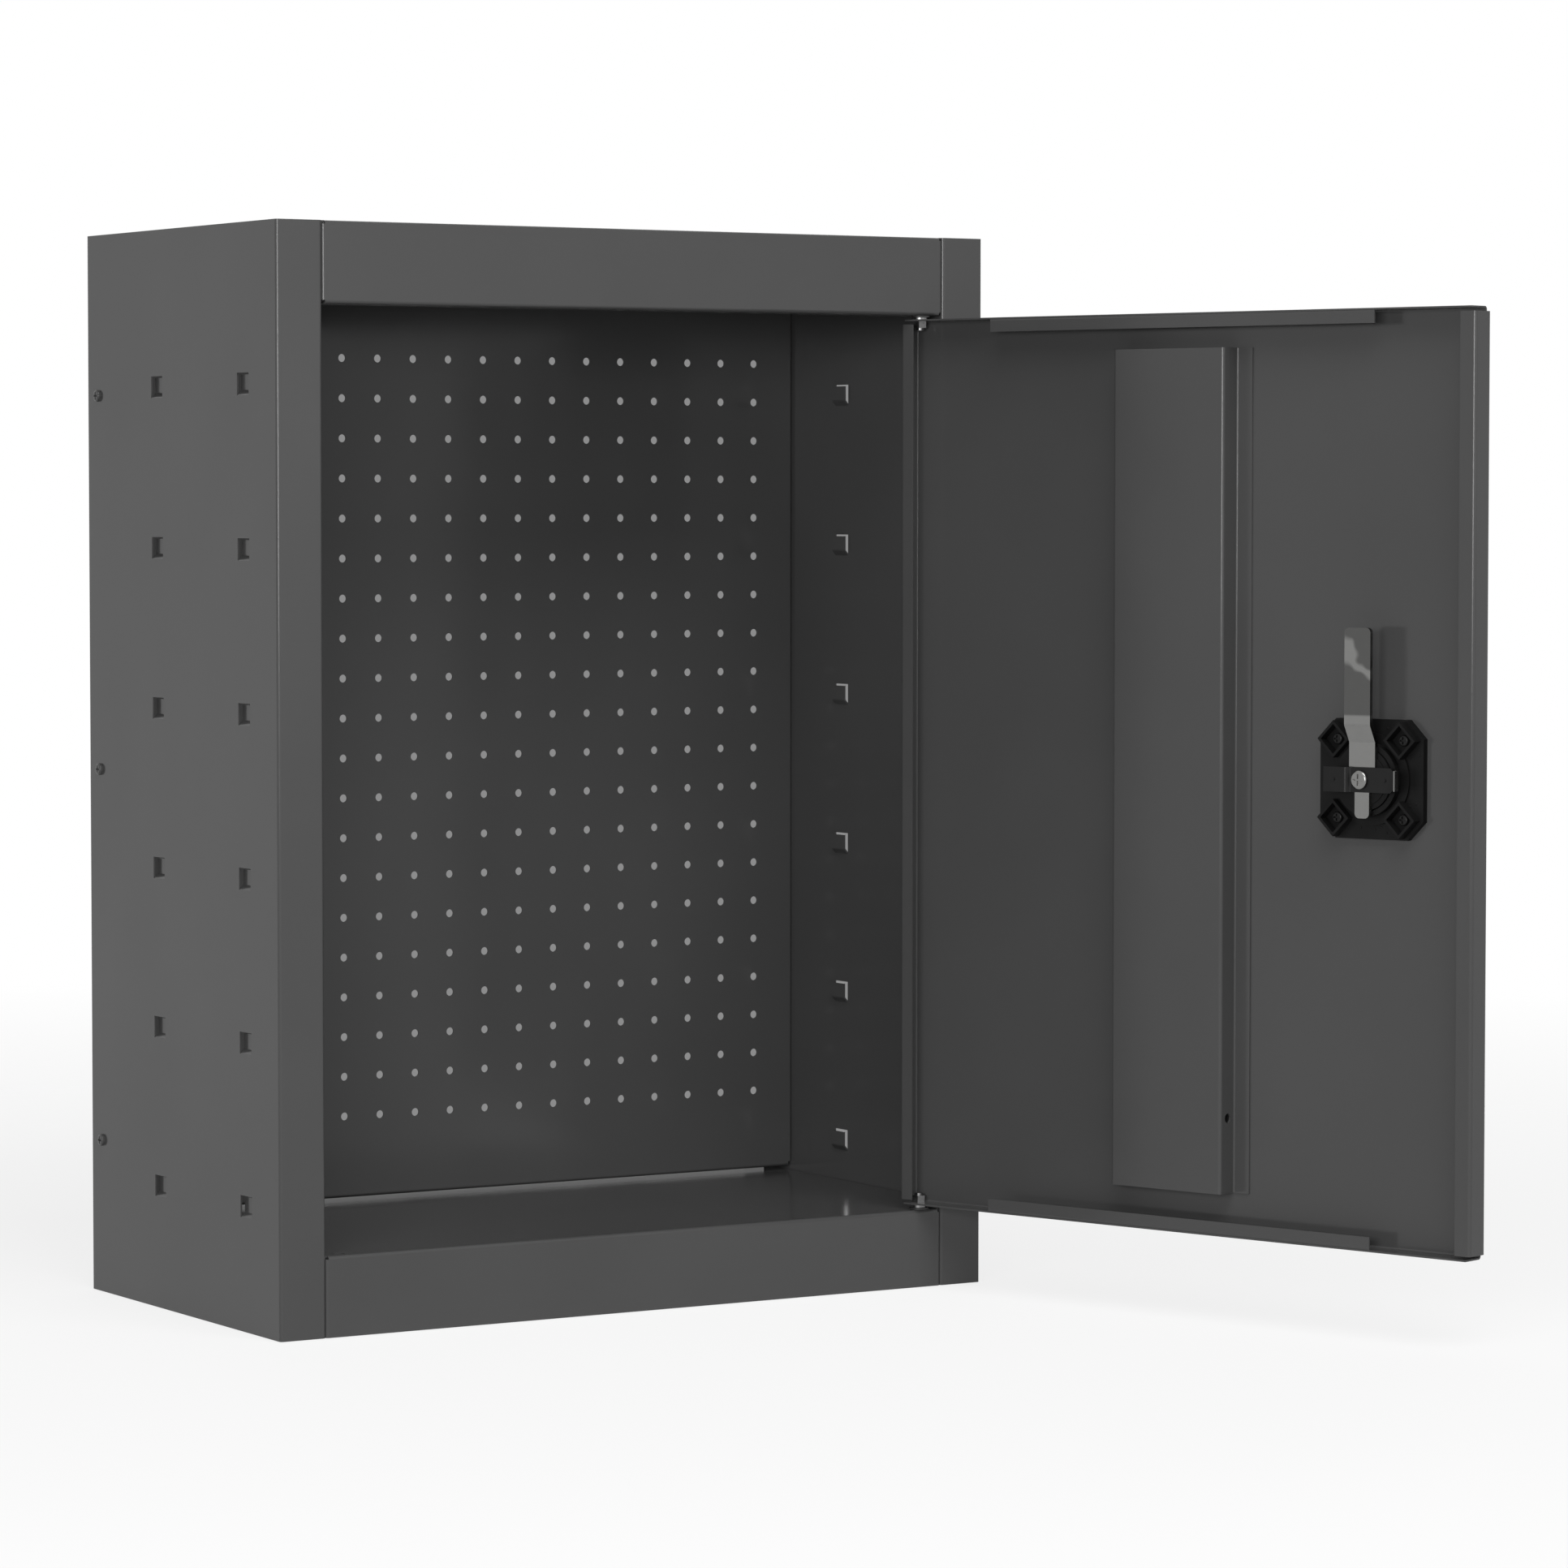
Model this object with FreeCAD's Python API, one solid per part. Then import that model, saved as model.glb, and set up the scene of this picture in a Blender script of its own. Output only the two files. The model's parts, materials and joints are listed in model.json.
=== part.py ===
import FreeCAD, Part
import math
import os
from FreeCAD import Vector

# Frame: millimetres, origin on the floor under the middle of the cabinet,
# +X to the right seen from the front, +Y to the rear, +Z up.
# The door and its lock are drawn with the door shut, then swung open about the hinge axis.

# Cabinet
cabinet_width = 486.0
cabinet_depth = 262.0
cabinet_height = 650.0
sheet = 1.0
bend_inside = 1.0
cut_margin = 1.0
same_place = 1e-6

# Side panels
stile_width = 29.5
jamb_depth = 16.5
rear_return = 14.0
jamb_top_gap = 0.3

# Top and bottom panels
rail_height = 48.0
pivot_shelf_depth = 22.0
top_skirt = 20.0
stile_clearance = 1.0
floor_ear_gap = 0.2

# Shelf tabs lanced out of the side panels
tab_pitch = 96.4
tab_floor_rise = 19.5
tab_top_limit = 35.0
tab_window_height = 13.0
tab_window_width = 15.5
tab_height = 12.0
tab_offset = 2.7
tab_ramp = 3.0
tab_shear_gap = 0.3
tab_front_column = 44.5
tab_rear_column = 162.0

# Perforated back panel
peg_pitch = 25.0
peg_hole_radius = 2.5
peg_edge_margin = 25.0
peg_end_margin = 45.0
back_recess = 39.0
back_floor_gap = 2.5
back_top_gap = 2.0
back_side_flange = 30.0
back_end_flange = 15.0
corner_relief = 3.0

# Screws that hold the back panel between the sides
back_screw_count = 3
back_screw_low_inset = 43.5
back_screw_high_inset = 76.0
back_screw_edge = 7.0
back_screw_radius = 2.0
back_screw_length = 9.0
back_screw_head_radius = 3.6
back_screw_head_height = 2.0
screw_clearance = 0.1
recess_share = 0.62
recess_width = 1.1
recess_depth = 1.2

# Door
door_hinge_gap = 4.0
door_latch_gap = 3.0
door_top_gap = 2.5
door_bottom_gap = 3.5
door_setback = 0.5
door_thickness = 16.0
hinge_lip = 9.0
latch_lip = 10.5
end_lip = 8.7
end_lip_inset = 69.5
door_open_angle = 108.5

# Stiffener on the inner face of the door
stiffener_width = 81.0
stiffener_flange = 11.0
stiffener_height = 14.8
stiffener_offset = 6.6
stiffener_low_inset = 25.0
stiffener_high_inset = 21.0
stiffener_hole_radius = 2.8
stiffener_hole_rise = 45.0

# Pivot hinges
hinge_axis_inset = 11.4
hinge_axis_depth = 7.0
hinge_pin_radius = 2.5
hinge_running_clearance = 0.05
hinge_axial_clearance = 0.1
hinge_collar_radius = 4.5
bush_wall = 1.4
bush_flange_radius = 6.0
bush_flange_thickness = 1.0
bush_length = 5.0
bush_fit_clearance = 0.05
nut_across_flats = 8.0
nut_height = 4.0
pin_stick_out = 1.5
pin_hole_clearance = 0.1

# Lock: place in the door
lock_from_latch_edge = 77.0
lock_rise = 1.0

# Lock: outside bezel with its sleeve
bezel_size = 74.0
bezel_corner_radius = 8.0
bezel_thickness = 6.0
bezel_edge_radius = 1.5
dish_radius = 28.0
dish_depth = 3.0
sleeve_radius = 18.0
sleeve_reach = 12.0
sleeve_hole_clearance = 0.4

# Lock: inner plate
plate_width = 72.0
plate_height = 70.0
plate_chamfer = 11.0
plate_thickness = 4.0
pocket_size = 15.5
pocket_wall = 1.6
pocket_height = 6.3
pocket_turn = 45.0
pocket_offset = 23.0
ring_radius = 21.5
ring_height = 6.0
ring_gap = 0.5
step_ring_radius = 27.0
step_ring_height = 1.5

# Lock: screws in the pockets
plate_screw_radius = 2.0
plate_screw_head_radius = 3.4
plate_screw_head_height = 2.2
plate_screw_bite = 4.0
plate_screw_tip_gap = 0.5

# Lock: handle and hub
hub_radius = 15.0
hub_running_clearance = 0.05
hub_reach = 12.5
handle_disc_radius = 26.0
handle_disc_thickness = 3.8
handle_floor_gap = 0.2
grip_length = 50.0
grip_width = 14.0
grip_boss_radius = 12.5
grip_height = 13.0
grip_edge_radius = 2.0
square_boss_size = 8.0
square_boss_clearance = 0.1

# Lock: key cylinder and plug
cylinder_radius = 9.0
cylinder_fit_clearance = 0.05
cylinder_inner_end = 2.0
plug_radius = 6.0
plug_running_clearance = 0.05
keyway_width = 1.6
keyway_height = 7.5
keyway_depth = 8.0
tail_radius = 1.2
tail_throw = 2.0
tail_hole_clearance = 0.8

# Lock: sliding bolt that the key drives
bolt_height = 9.8
bolt_depth = 3.8
bolt_side_gap = 0.1
bolt_wall = 1.2
bolt_nose_gap = 1.1
bolt_inner_reach = 6.0
bolt_slot_clearance = 0.3
tail_end_gap = 0.4

# Lock: cam, stop plate, crossbar and screw
cam_thickness = 2.5
cam_width = 18.0
cam_stub_width = 10.0
cam_stub_reach = 22.5
cam_fold_rise = 22.5
cam_joggle_rise = 10.0
cam_joggle = 5.4
cam_reach = 88.4
cam_corner_radius = 3.0
stop_plate_thickness = 0.8
stop_plate_height = 11.8
stop_plate_short_end = 8.0
stop_plate_long_end = 26.0
stop_plate_turn_up = 5.0
bar_thickness = 1.2
bar_height = 14.5
bar_half_length = 24.0
bar_step_start = 7.5
bar_step_run = 2.0
bar_step_height = 2.5
bar_corner = 3.0
bar_dimple_reach = 17.0
bar_dimple_radius = 1.0
bar_dimple_height = 0.6
cam_screw_radius = 2.5
cam_screw_head_radius = 5.6
cam_screw_head_height = 2.4
cam_screw_bite = 7.0

# Places worked out from the sizes above
left_x = -cabinet_width / 2
front_y = -cabinet_depth / 2
rear_y = cabinet_depth / 2
bend_outside = bend_inside + sheet
opening_half = cabinet_width / 2 - stile_width
inner_half = cabinet_width / 2 - sheet
jamb_end_y = front_y + jamb_depth
deck_notch_y = jamb_end_y + stile_clearance
deck_rear_y = rear_y - sheet
floor_z = rail_height
rail_under_z = cabinet_height - rail_height
hinge_x = opening_half - hinge_axis_inset
hinge_y = front_y + hinge_axis_depth
hinge_axis = Vector(hinge_x, hinge_y, 0)
bush_body_radius = hinge_pin_radius + hinge_running_clearance + bush_wall
pivot_hole_radius = bush_body_radius + bush_fit_clearance
tab_lowest = floor_z + tab_floor_rise
peg_face_y = rear_y - back_recess
back_low_z = floor_z + back_floor_gap
back_high_z = cabinet_height - top_skirt - back_top_gap
back_screw_y = peg_face_y + back_side_flange - back_screw_edge
door_hinge_x = opening_half - door_hinge_gap
door_latch_x = -opening_half + door_latch_gap
door_y = front_y + door_setback
door_rear_y = door_y + door_thickness
door_inner_y = door_y + sheet
door_low_z = floor_z + door_bottom_gap
door_high_z = rail_under_z - door_top_gap
lock_x = door_latch_x + lock_from_latch_edge
lock_z = (door_low_z + door_high_z) / 2 + lock_rise
plate_face_y = door_inner_y + plate_thickness
hub_front_y = door_y - bezel_thickness + dish_depth - handle_floor_gap
hub_end_y = door_y + hub_reach
cylinder_bore_radius = cylinder_radius + cylinder_fit_clearance
cylinder_end_y = door_y + cylinder_inner_end
bolt_room_y = cylinder_end_y + bolt_wall
bolt_room_depth = bolt_depth + 2 * bolt_side_gap
tail_offset = tail_throw * math.sqrt(0.5)
bolt_travel = 2 * tail_offset
cam_face_y = hub_end_y + cam_thickness
bar_seat_y = cam_face_y + stop_plate_thickness
bar_face_y = bar_seat_y + bar_thickness


# Folded sheet: a strip of constant thickness that follows a path and rounds its bends

def turn(a, b, c):
    """Positive where the path a, b, c turns left."""
    return (b[0] - a[0]) * (c[1] - b[1]) - (b[1] - a[1]) * (c[0] - b[0])


def unit(a, b):
    length = math.hypot(b[0] - a[0], b[1] - a[1])
    return ((b[0] - a[0]) / length, (b[1] - a[1]) / length)


def shifted_path(points, side, distance):
    """The path moved sideways: side is 1 for the left of the way it runs, -1 for the right."""
    normals = []
    for a, b in zip(points, points[1:]):
        d = unit(a, b)
        normals.append((-d[1] * side, d[0] * side))
    moved = [(points[0][0] + normals[0][0] * distance, points[0][1] + normals[0][1] * distance)]
    for point, first, second in zip(points[1:-1], normals, normals[1:]):
        share = distance / (1 + first[0] * second[0] + first[1] * second[1])
        moved.append((point[0] + (first[0] + second[0]) * share, point[1] + (first[1] + second[1]) * share))
    moved.append((points[-1][0] + normals[-1][0] * distance, points[-1][1] + normals[-1][1] * distance))
    return moved


def bend_points(a, b, c, radius):
    """Start, middle and end of the arc that rounds the corner b."""
    back = unit(b, a)
    ahead = unit(b, c)
    half = math.acos(max(-1.0, min(1.0, back[0] * ahead[0] + back[1] * ahead[1]))) / 2
    along = radius / math.tan(half)
    middle = unit((0, 0), (back[0] + ahead[0], back[1] + ahead[1]))
    reach = radius / math.sin(half) - radius
    start = (b[0] + back[0] * along, b[1] + back[1] * along)
    end = (b[0] + ahead[0] * along, b[1] + ahead[1] * along)
    return start, (b[0] + middle[0] * reach, b[1] + middle[1] * reach), end


def rounded_edges(points, radii, place):
    edges = []
    last = points[0]
    for a, b, c, radius in zip(points, points[1:], points[2:], radii):
        start, middle, end = bend_points(a, b, c, radius)
        edges.append(Part.makeLine(place(last), place(start)))
        edges.append(Part.Arc(place(start), place(middle), place(end)).toShape())
        last = end
    edges.append(Part.makeLine(place(last), place(points[-1])))
    return edges


def folded_strip(points, side, place, run, thickness=sheet, inside=bend_inside):
    """Sheet that follows the path points with its thickness on the given side, extruded by run."""
    near = []
    far = []
    for a, b, c in zip(points, points[1:], points[2:]):
        towards = turn(a, b, c) * side > 0
        near.append(inside + thickness if towards else inside)
        far.append(inside if towards else inside + thickness)
    other = shifted_path(points, side, thickness)
    edges = rounded_edges(points, near, place)
    edges.append(Part.makeLine(place(points[-1]), place(other[-1])))
    edges += rounded_edges(other[::-1], far[::-1], place)
    edges.append(Part.makeLine(place(other[0]), place(points[0])))
    return Part.Face(Part.Wire(edges)).extrude(run)


def in_plan(z):
    return lambda p: Vector(p[0], p[1], z)


def in_side_view(x):
    return lambda p: Vector(x, p[0], p[1])


def in_front_view(y):
    return lambda p: Vector(p[0], y, p[1])


def block(x0, x1, y0, y1, z0, z1):
    return Part.makeBox(x1 - x0, y1 - y0, z1 - z0, Vector(x0, y0, z0))


def joined(shapes):
    return shapes[0].fuse(shapes[1:]).removeSplitter()


def rod_y(radius, x, z, y0, y1):
    return Part.makeCylinder(radius, y1 - y0, Vector(x, y0, z), Vector(0, 1, 0))


def rod_x(radius, y, z, x0, x1):
    return Part.makeCylinder(radius, x1 - x0, Vector(x0, y, z), Vector(1, 0, 0))


def rod_z(radius, x, y, z0, z1):
    return Part.makeCylinder(radius, z1 - z0, Vector(x, y, z0), Vector(0, 0, 1))


def mirrored(shape):
    return shape.mirror(Vector(0, 0, 0), Vector(1, 0, 0))


def pan_screw(radius, length, head_radius, head_height):
    """Cross-head screw along +Z: its shank ends below zero and its domed head stands above it."""
    dome = head_height / 2
    shank = Part.makeCylinder(radius, length, Vector(0, 0, -length), Vector(0, 0, 1))
    head = Part.makeCylinder(head_radius, head_height)
    rim = [e for e in head.Edges if abs(e.BoundBox.ZMin - head_height) < dome and e.isClosed()]
    screw = joined([shank, head.makeFillet(dome, rim)])
    reach = head_radius * recess_share
    low = head_height - recess_depth
    high = head_height + cut_margin
    half = recess_width / 2
    slots = [block(-reach, reach, -half, half, low, high), block(-half, half, -reach, reach, low, high)]
    return screw.cut(slots)


def aimed(shape, direction, place):
    """A shape made along +Z, turned to point along direction and moved to place."""
    turned = shape.copy()
    turned.Placement = FreeCAD.Placement(place, FreeCAD.Rotation(Vector(0, 0, 1), direction))
    return turned


# Side panels

def tab_heights():
    room = rail_under_z - tab_top_limit - tab_window_height - tab_lowest
    return [tab_lowest + i * tab_pitch for i in range(1 + int(room / tab_pitch))]


def shelf_tab(y, z):
    """Window in the left panel and the joggled tab pushed inwards from it."""
    window = block(left_x - cut_margin, left_x + sheet + cut_margin,
                   y - tab_window_width / 2, y + tab_window_width / 2, z, z + tab_window_height)
    width = tab_window_width - 2 * tab_shear_gap
    path = [(left_x, z - tab_ramp), (left_x, z), (left_x + tab_offset, z + tab_ramp),
            (left_x + tab_offset, z + tab_height)]
    tab = folded_strip(path, -1, in_front_view(y - width / 2), Vector(0, width, 0))
    return window, tab


def back_screw_heights():
    first = back_low_z + back_screw_low_inset
    last = back_high_z - back_screw_high_inset
    step = (last - first) / (back_screw_count - 1)
    return [first + i * step for i in range(back_screw_count)]


def side_panel():
    """Left side panel: rear return, side, stile and jamb in one folded sheet."""
    path = [(left_x + rear_return, rear_y), (left_x, rear_y), (left_x, front_y),
            (-opening_half, front_y), (-opening_half, jamb_end_y)]
    panel = folded_strip(path, 1, in_plan(0), Vector(0, 0, cabinet_height))
    windows = []
    tabs = []
    for y in (front_y + tab_front_column, front_y + tab_rear_column):
        for z in tab_heights():
            window, tab = shelf_tab(y, z)
            windows.append(window)
            tabs.append(tab)
    holes = [rod_x(back_screw_radius + screw_clearance, back_screw_y, z, left_x - cut_margin,
                   left_x + sheet + cut_margin) for z in back_screw_heights()]
    jamb_cut = block(-opening_half - sheet - cut_margin, -opening_half + cut_margin,
                     front_y + bend_outside, jamb_end_y + cut_margin,
                     cabinet_height - sheet - jamb_top_gap, cabinet_height + cut_margin)
    return joined([panel.cut(windows + holes + [jamb_cut])] + tabs)


# Top and bottom panels: a deck with a front rail between the stiles and a skirt along the sides and rear

def folded_deck(deck_z, skirt, shelf_depth, ear_reach):
    rail_low_z = deck_z - rail_height
    skirt_low_z = deck_z - skirt
    middle = opening_half - bend_outside
    across = [(deck_rear_y, skirt_low_z), (deck_rear_y, deck_z), (front_y, deck_z), (front_y, rail_low_z)]
    if shelf_depth:
        across.append((front_y + shelf_depth, rail_low_z))
    centre = folded_strip(across, 1, in_side_view(-middle), Vector(2 * middle, 0, 0))
    along = [(-inner_half, skirt_low_z), (-inner_half, deck_z), (inner_half, deck_z),
             (inner_half, skirt_low_z)]
    length = deck_rear_y - bend_outside - deck_notch_y
    sides = folded_strip(along, -1, in_front_view(deck_notch_y), Vector(0, length, 0))
    rear_path = [(deck_rear_y, skirt_low_z), (deck_rear_y, deck_z), (deck_notch_y, deck_z)]
    rear_half = inner_half - bend_outside
    rear = folded_strip(rear_path, 1, in_side_view(-rear_half), Vector(2 * rear_half, 0, 0))
    skirt_path = [(-inner_half, deck_notch_y), (-inner_half, deck_rear_y), (inner_half, deck_rear_y),
                  (inner_half, deck_notch_y)]
    skirt_wall = folded_strip(skirt_path, -1, in_plan(skirt_low_z), Vector(0, 0, skirt - bend_outside))
    rail_path = [(-opening_half, jamb_end_y), (-opening_half, front_y), (opening_half, front_y),
                 (opening_half, jamb_end_y)]
    rail_foot_z = rail_low_z + (bend_outside if shelf_depth else 0)
    rail_rise = deck_z - bend_outside - rail_foot_z
    rail_end = folded_strip(rail_path, 1, in_plan(rail_foot_z), Vector(0, 0, rail_rise))
    ears = []
    for low, high in ((-ear_reach, -middle + bend_outside), (middle - bend_outside, ear_reach)):
        ears.append(block(low, high, front_y + bend_outside + jamb_top_gap, deck_notch_y + bend_outside,
                          deck_z - sheet, deck_z))
    return joined([centre, sides, rear, skirt_wall, rail_end] + ears)


def pivot_holes(z):
    """Holes for the hinge bushes, on both sides so that the door can be hung either way round."""
    return [rod_z(pivot_hole_radius, x, hinge_y, z - sheet - cut_margin, z + sheet + cut_margin)
            for x in (-hinge_x, hinge_x)]


def top_panel():
    deck = folded_deck(cabinet_height, top_skirt, pivot_shelf_depth, inner_half - bend_inside)
    return deck.cut(pivot_holes(rail_under_z))


def bottom_panel():
    deck = folded_deck(floor_z, rail_height, 0, opening_half - floor_ear_gap)
    return deck.cut(pivot_holes(floor_z))


# Perforated back panel, a pan with its flanges to the rear, and its screws

def peg_places(low, high, margin):
    """Peg rows at the pitch, as many as leave the margin, in the middle of the span."""
    count = 1 + int((high - low - 2 * margin) / peg_pitch)
    first = (low + high - (count - 1) * peg_pitch) / 2
    return [first + i * peg_pitch for i in range(count)]


def back_panel():
    side_end_y = peg_face_y + back_side_flange
    end_y = peg_face_y + back_end_flange
    across = [(-inner_half, side_end_y), (-inner_half, peg_face_y), (inner_half, peg_face_y),
              (inner_half, side_end_y)]
    height = back_high_z - back_low_z - 2 * corner_relief
    sides = folded_strip(across, 1, in_plan(back_low_z + corner_relief), Vector(0, 0, height))
    upward = [(end_y, back_low_z), (peg_face_y, back_low_z), (peg_face_y, back_high_z), (end_y, back_high_z)]
    half = inner_half - corner_relief
    ends = folded_strip(upward, -1, in_side_view(-half), Vector(2 * half, 0, 0))
    holes = [rod_y(peg_hole_radius, x, z, peg_face_y - cut_margin, peg_face_y + sheet + cut_margin)
             for x in peg_places(-inner_half, inner_half, peg_edge_margin)
             for z in peg_places(back_low_z, back_high_z, peg_end_margin)]
    holes += [rod_x(back_screw_radius + screw_clearance, back_screw_y, z, -inner_half - cut_margin,
                    inner_half + cut_margin) for z in back_screw_heights()]
    return joined([sides, ends]).cut(holes)


def back_panel_screws():
    screw = pan_screw(back_screw_radius, back_screw_length, back_screw_head_radius, back_screw_head_height)
    screws = []
    for side in (-1, 1):
        for z in back_screw_heights():
            screws.append(aimed(screw, Vector(side, 0, 0), Vector(side * cabinet_width / 2, back_screw_y, z)))
    return Part.makeCompound(screws)


# Pivot hinges: a bush in each rail, and a collared pin held in the door's flange by a nut

def hinge_bush(seat_z, towards_door):
    """Flanged bush: its flange lies on the rail on the door's side."""
    body_end = seat_z - towards_door * bush_length
    flange_end = seat_z + towards_door * bush_flange_thickness
    body = rod_z(bush_body_radius, hinge_x, hinge_y, min(seat_z, body_end), max(seat_z, body_end))
    flange = rod_z(bush_flange_radius, hinge_x, hinge_y, min(seat_z, flange_end), max(seat_z, flange_end))
    low = min(body_end, flange_end) - cut_margin
    high = max(body_end, flange_end) + cut_margin
    bore = rod_z(hinge_pin_radius + hinge_running_clearance, hinge_x, hinge_y, low, high)
    return joined([body, flange]).cut(bore)


def hinge_pin(seat_z, towards_door, flange_z):
    """Pin from the bush through the door's flange, whose outer face is at flange_z."""
    collar_start = seat_z + towards_door * (bush_flange_thickness + hinge_axial_clearance)
    tip = seat_z - towards_door * bush_length
    end = flange_z + towards_door * (sheet + nut_height + pin_stick_out)
    shank = rod_z(hinge_pin_radius, hinge_x, hinge_y, min(tip, end), max(tip, end))
    collar = rod_z(hinge_collar_radius, hinge_x, hinge_y,
                   min(collar_start, flange_z), max(collar_start, flange_z))
    return joined([shank, collar])


def hinge_nut(seat_z, towards_door):
    corner = nut_across_flats / 2 / math.cos(math.pi / 6)
    points = []
    for i in range(6):
        angle = i * math.pi / 3
        points.append(Vector(hinge_x + corner * math.cos(angle), hinge_y + corner * math.sin(angle), seat_z))
    outline = Part.Face(Part.makePolygon(points + points[:1]))
    nut = outline.extrude(Vector(0, 0, towards_door * nut_height))
    low = min(seat_z, seat_z + towards_door * nut_height) - cut_margin
    high = low + nut_height + 2 * cut_margin
    hole = rod_z(hinge_pin_radius + pin_hole_clearance, hinge_x, hinge_y, low, high)
    return nut.cut(hole)


# Door

def pocket_places():
    return [(lock_x + i * pocket_offset, lock_z + k * pocket_offset) for i in (-1, 1) for k in (-1, 1)]


def door_panel():
    plan = [(door_hinge_x - hinge_lip, door_rear_y), (door_hinge_x, door_rear_y), (door_hinge_x, door_y),
            (door_latch_x, door_y), (door_latch_x, door_rear_y), (door_latch_x + latch_lip, door_rear_y)]
    height = door_high_z - door_low_z - 2 * corner_relief
    sides = folded_strip(plan, -1, in_plan(door_low_z + corner_relief), Vector(0, 0, height))
    flanges = [(door_rear_y, door_low_z), (door_y, door_low_z), (door_y, door_high_z),
               (door_rear_y, door_high_z)]
    start = door_latch_x + corner_relief
    run = door_hinge_x - corner_relief - start
    ends = folded_strip(flanges, -1, in_side_view(start), Vector(run, 0, 0))
    lips = [(door_rear_y, door_low_z + end_lip)] + flanges + [(door_rear_y, door_high_z - end_lip)]
    lip_start = door_latch_x + end_lip_inset
    lip_run = door_hinge_x - end_lip_inset - lip_start
    lipped = folded_strip(lips, -1, in_side_view(lip_start), Vector(lip_run, 0, 0))
    through = (door_y - cut_margin, door_inner_y + cut_margin)
    holes = [rod_y(sleeve_radius + sleeve_hole_clearance, lock_x, lock_z, *through)]
    for x, z in pocket_places():
        holes.append(rod_y(plate_screw_radius + screw_clearance, x, z, *through))
    for low in (door_low_z, door_high_z - sheet):
        holes.append(rod_z(hinge_pin_radius + pin_hole_clearance, hinge_x, hinge_y,
                           low - cut_margin, low + sheet + cut_margin))
    return joined([sides, ends, lipped]).cut(holes)


def door_stiffener():
    """Hat channel on the inner face, with one small hole in its latch-side wall."""
    centre = (door_hinge_x + door_latch_x) / 2 + stiffener_offset
    half = stiffener_width / 2
    foot = half + stiffener_flange
    foot_y = door_inner_y + sheet
    top_y = door_inner_y + stiffener_height
    path = [(centre - foot, foot_y), (centre - half, foot_y), (centre - half, top_y), (centre + half, top_y),
            (centre + half, foot_y), (centre + foot, foot_y)]
    low = door_low_z + stiffener_low_inset
    height = door_high_z - stiffener_high_inset - low
    hat = folded_strip(path, -1, in_plan(low), Vector(0, 0, height))
    hole = rod_x(stiffener_hole_radius, (door_inner_y + top_y) / 2, low + stiffener_hole_rise,
                 centre - half - cut_margin, centre - half + sheet + cut_margin)
    return hat.cut(hole)


# Lock pieces, drawn about the lock's axis, which runs through the shut door along Y

def rounded_square(size, radius, y0, y1):
    half = size / 2
    body = block(lock_x - half, lock_x + half, y0, y1, lock_z - half, lock_z + half)
    corners = [e for e in body.Edges if e.BoundBox.XLength < same_place and e.BoundBox.ZLength < same_place]
    return body.makeFillet(radius, corners)


def edges_on_plane(shape, y):
    return [e for e in shape.Edges
            if abs(e.BoundBox.YMin - y) < same_place and abs(e.BoundBox.YMax - y) < same_place]


def edges_through(shape, x=None, z=None):
    """Straight edges along Y, at the given x or the given z."""
    found = []
    for edge in shape.Edges:
        box = edge.BoundBox
        along_y = box.XLength < same_place and box.ZLength < same_place
        at_x = x is None or abs(box.XMin - x) < same_place
        at_z = z is None or abs(box.ZMin - z) < same_place
        if along_y and at_x and at_z:
            found.append(edge)
    return found


def lock_escutcheon():
    front = door_y - bezel_thickness
    plate = rounded_square(bezel_size, bezel_corner_radius, front, door_y)
    plate = plate.makeFillet(bezel_edge_radius, edges_on_plane(plate, front))
    plate = plate.cut(rod_y(dish_radius, lock_x, lock_z, front - cut_margin, front + dish_depth))
    body = joined([plate, rod_y(sleeve_radius, lock_x, lock_z, door_y, door_y + sleeve_reach)])
    cuts = [rod_y(hub_radius + hub_running_clearance, lock_x, lock_z, front,
                  door_y + sleeve_reach + cut_margin)]
    for x, z in pocket_places():
        depth = plate_screw_bite + plate_screw_tip_gap
        cuts.append(rod_y(plate_screw_radius + screw_clearance, x, z, door_y - depth, door_y + cut_margin))
    half_height = bolt_height / 2 + bolt_slot_clearance
    slot_low = bolt_room_y - bolt_side_gap
    slot_high = bolt_room_y + bolt_room_depth + bolt_side_gap
    outer = sleeve_radius + cut_margin
    cuts.append(block(lock_x, lock_x + outer, slot_low, slot_high,
                      lock_z - half_height, lock_z + half_height))
    cuts.append(block(lock_x - half_height, lock_x + half_height, slot_low, slot_high,
                      lock_z, lock_z + outer))
    return body.cut(cuts)


def pocket_block(x, z, half, height):
    """Square block, turned corner up, that stands on the inner plate."""
    body = block(-half, half, plate_face_y, plate_face_y + height, -half, half)
    body.rotate(Vector(0, 0, 0), Vector(0, 1, 0), pocket_turn)
    body.translate(Vector(x, 0, z))
    return body


def plate_outline():
    half_width = plate_width / 2
    half_height = plate_height / 2
    corners = []
    for i, k in ((1, 1), (-1, 1), (-1, -1), (1, -1)):
        ends = [(i * half_width, k * (half_height - plate_chamfer)),
                (i * (half_width - plate_chamfer), k * half_height)]
        corners += ends if i * k > 0 else ends[::-1]
    points = [Vector(lock_x + x, door_inner_y, lock_z + z) for x, z in corners]
    return Part.Face(Part.makePolygon(points + points[:1]))


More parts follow.
